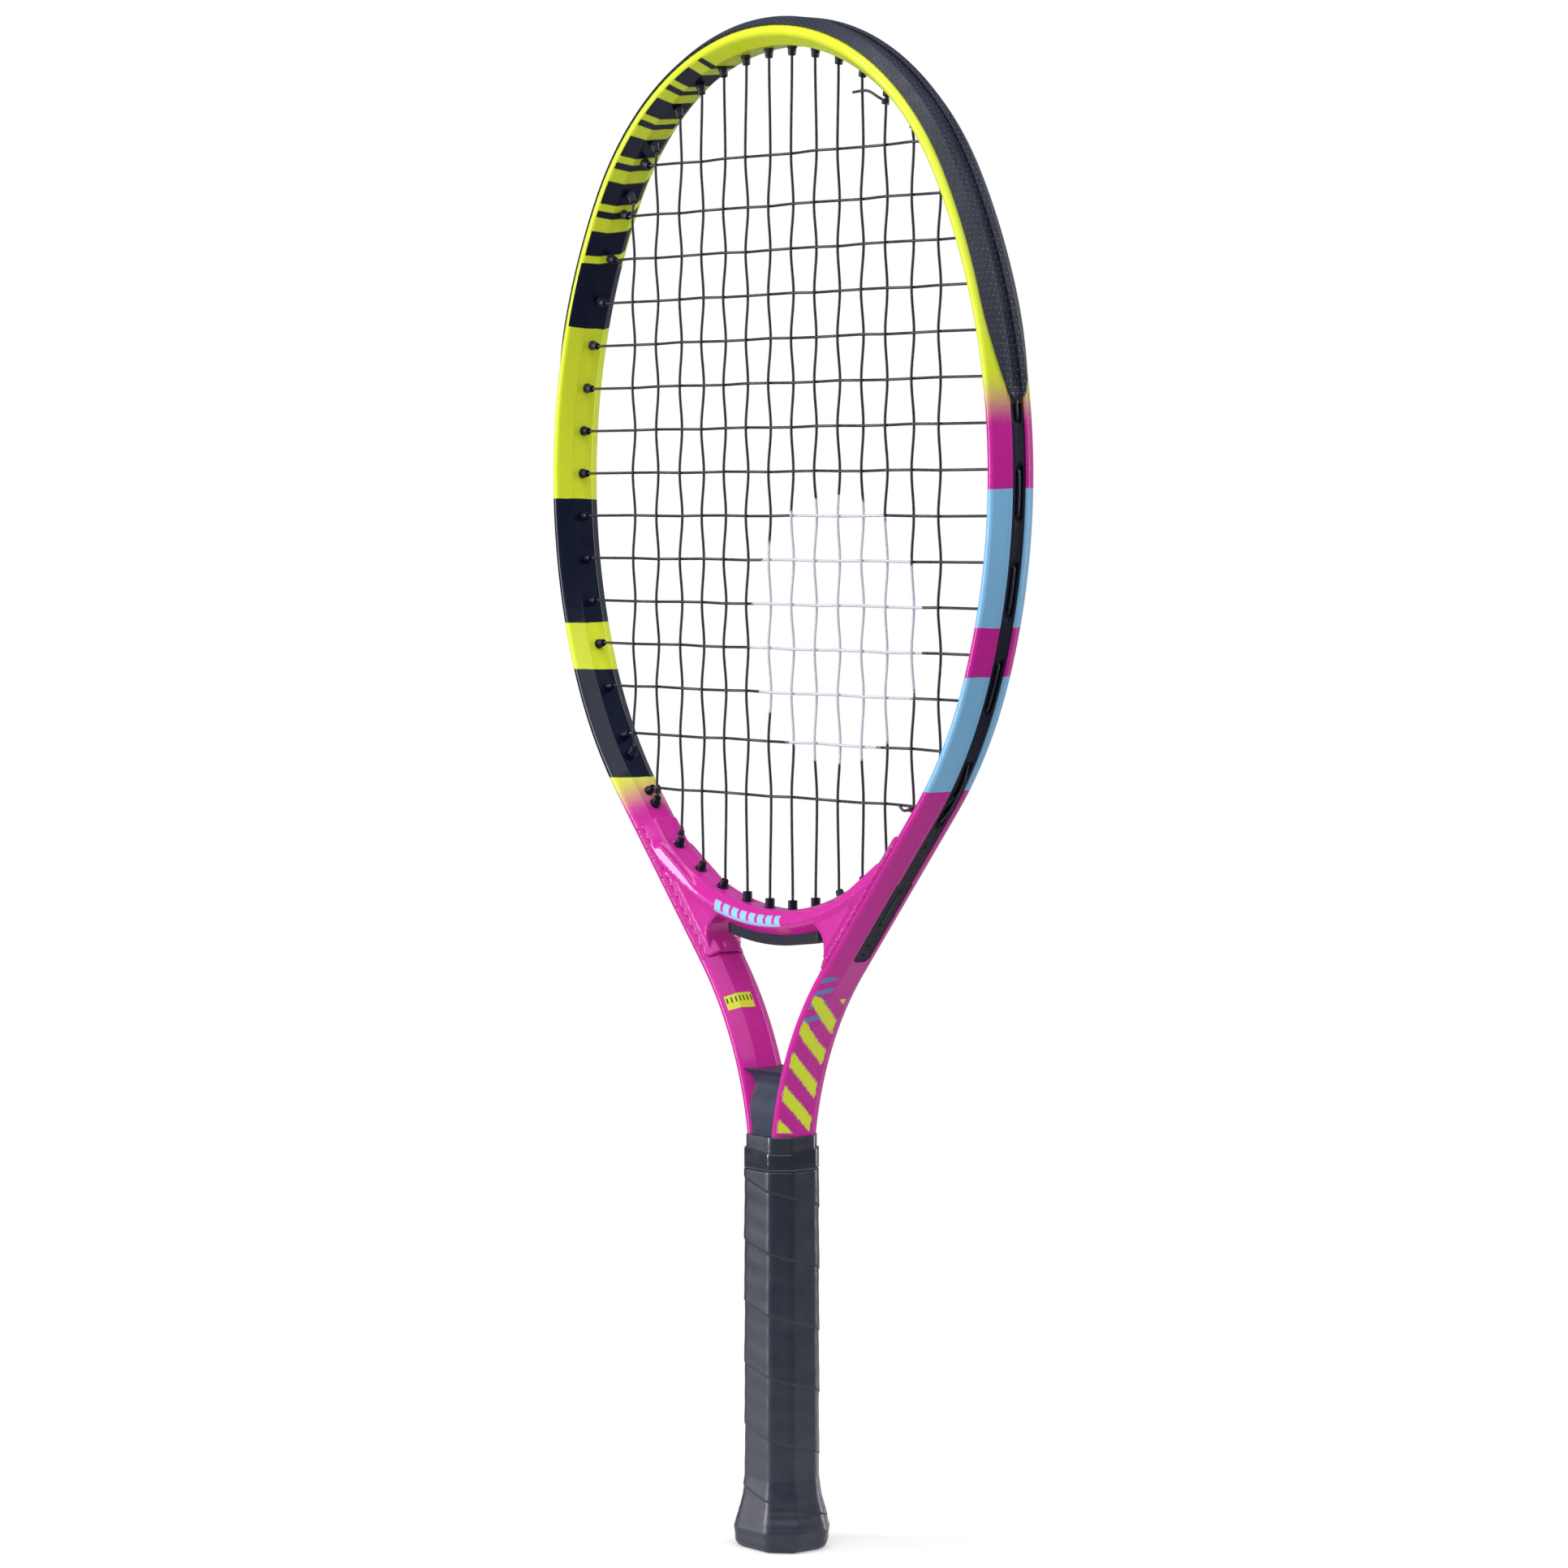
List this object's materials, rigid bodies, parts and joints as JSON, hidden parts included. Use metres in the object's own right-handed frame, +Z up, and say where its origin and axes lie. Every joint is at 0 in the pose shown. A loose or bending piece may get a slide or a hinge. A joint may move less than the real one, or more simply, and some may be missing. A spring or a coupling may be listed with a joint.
{
  "type": "tennis racket",
  "caption": "Junior tennis racket: hollow metal hairpin frame with an open throat, woven string bed, grommet strips, bumper guard and wrapped octagonal handle.",
  "frame": {"origin": "middle of the butt's end face", "axes": "+Z up the racket from butt to head, X across the string plane, -Y out of the front face of the strings"},
  "size_m": [0.2496, 0.0292, 0.5334],
  "materials": {
    "frame_paint": "gloss",
    "bridge_paint": "gloss",
    "bumper_plastic": "fine texture",
    "grommet_plastic": "satin",
    "string": "satin",
    "wedge_plastic": "satin",
    "shell_plastic": "matte",
    "cap_plastic": "satin",
    "badge_plastic": "satin",
    "staple_steel": "plain",
    "grip_skin": "semi-gloss",
    "collar_rubber": "satin",
    "tape_vinyl": "gloss"
  },
  "bodies": {
    "root": {"frame_tube": "frame_paint", "throat_bridge": "bridge_paint", "bumper_guard": "bumper_plastic", "right_grommet_strip": "grommet_plastic", "left_grommet_strip": "grommet_plastic", "throat_grommet_strip": "grommet_plastic", "main_string": "string", "cross_string": "string", "tie_off_knots": "string", "shaft_wedge": "wedge_plastic", "front_handle_shell": "shell_plastic", "rear_handle_shell": "shell_plastic", "butt_cap": "cap_plastic", "end_badge": "badge_plastic", "butt_cap_staples": "staple_steel", "grip_wrap": "grip_skin", "grip_collar": "collar_rubber", "finishing_tape": "tape_vinyl"}
  },
  "joints": []
}
